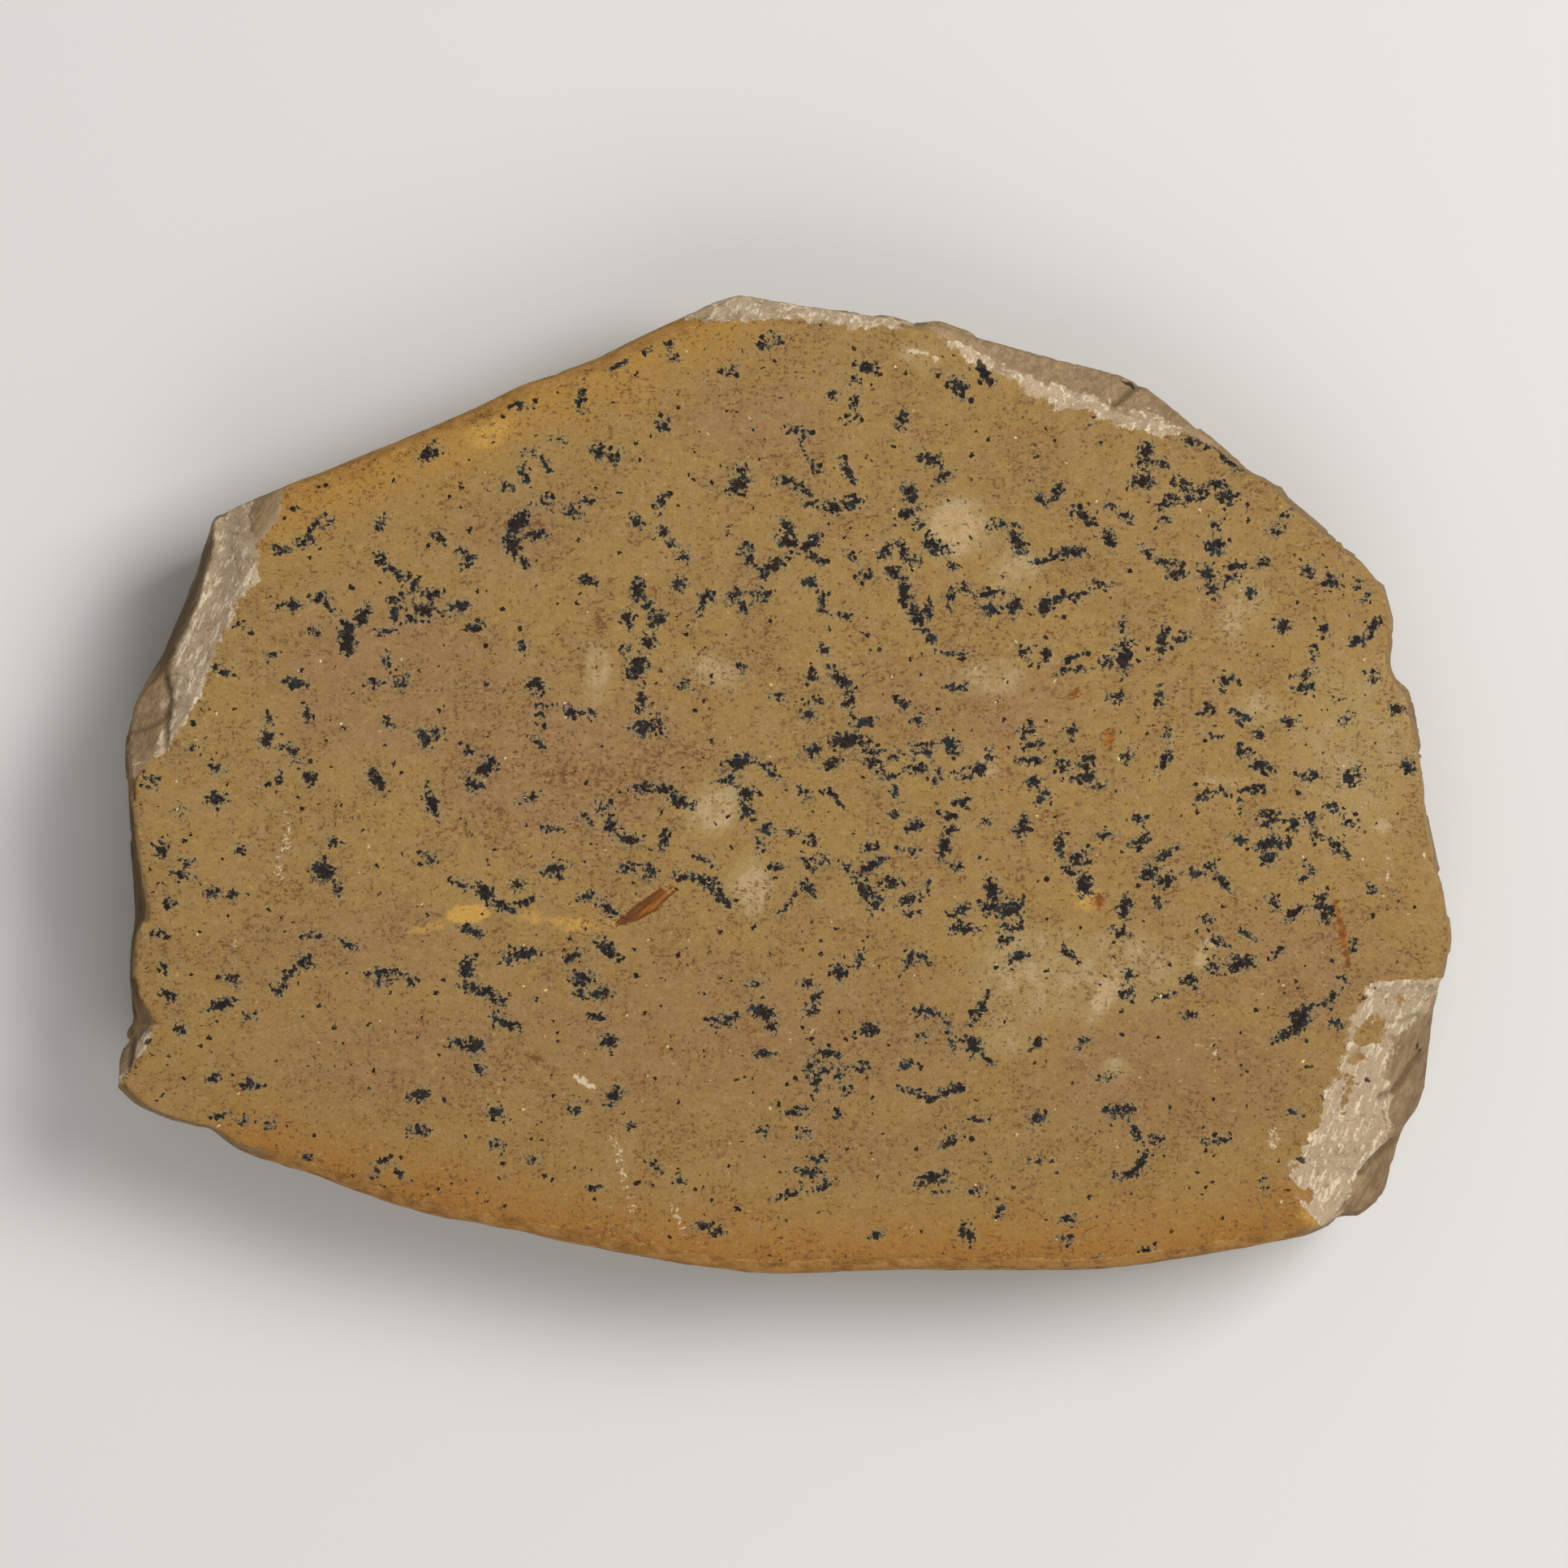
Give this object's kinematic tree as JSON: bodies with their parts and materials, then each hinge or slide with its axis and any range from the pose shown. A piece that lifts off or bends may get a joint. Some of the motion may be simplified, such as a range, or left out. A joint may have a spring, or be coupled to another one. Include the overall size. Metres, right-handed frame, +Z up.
{
  "type": "speckled siltstone fossil slab",
  "caption": "Loose hand-sized slab of tan siltstone with a flat bedding face, worn joint edges and chipped corners; rests flat on its underside.",
  "frame": {"origin": "on the ground, below the middle of the slab's outline", "axes": "+X along the slab, +Y across it towards its pointed side, +Z up, out of the bedding face"},
  "size_m": [0.145, 0.1069, 0.022],
  "materials": {
    "stone": "matt tan siltstone with blue-black and brown specks, pale bruises on its chips and rusty worn edges"
  },
  "bodies": {
    "root": {"slab": "stone"}
  },
  "joints": []
}
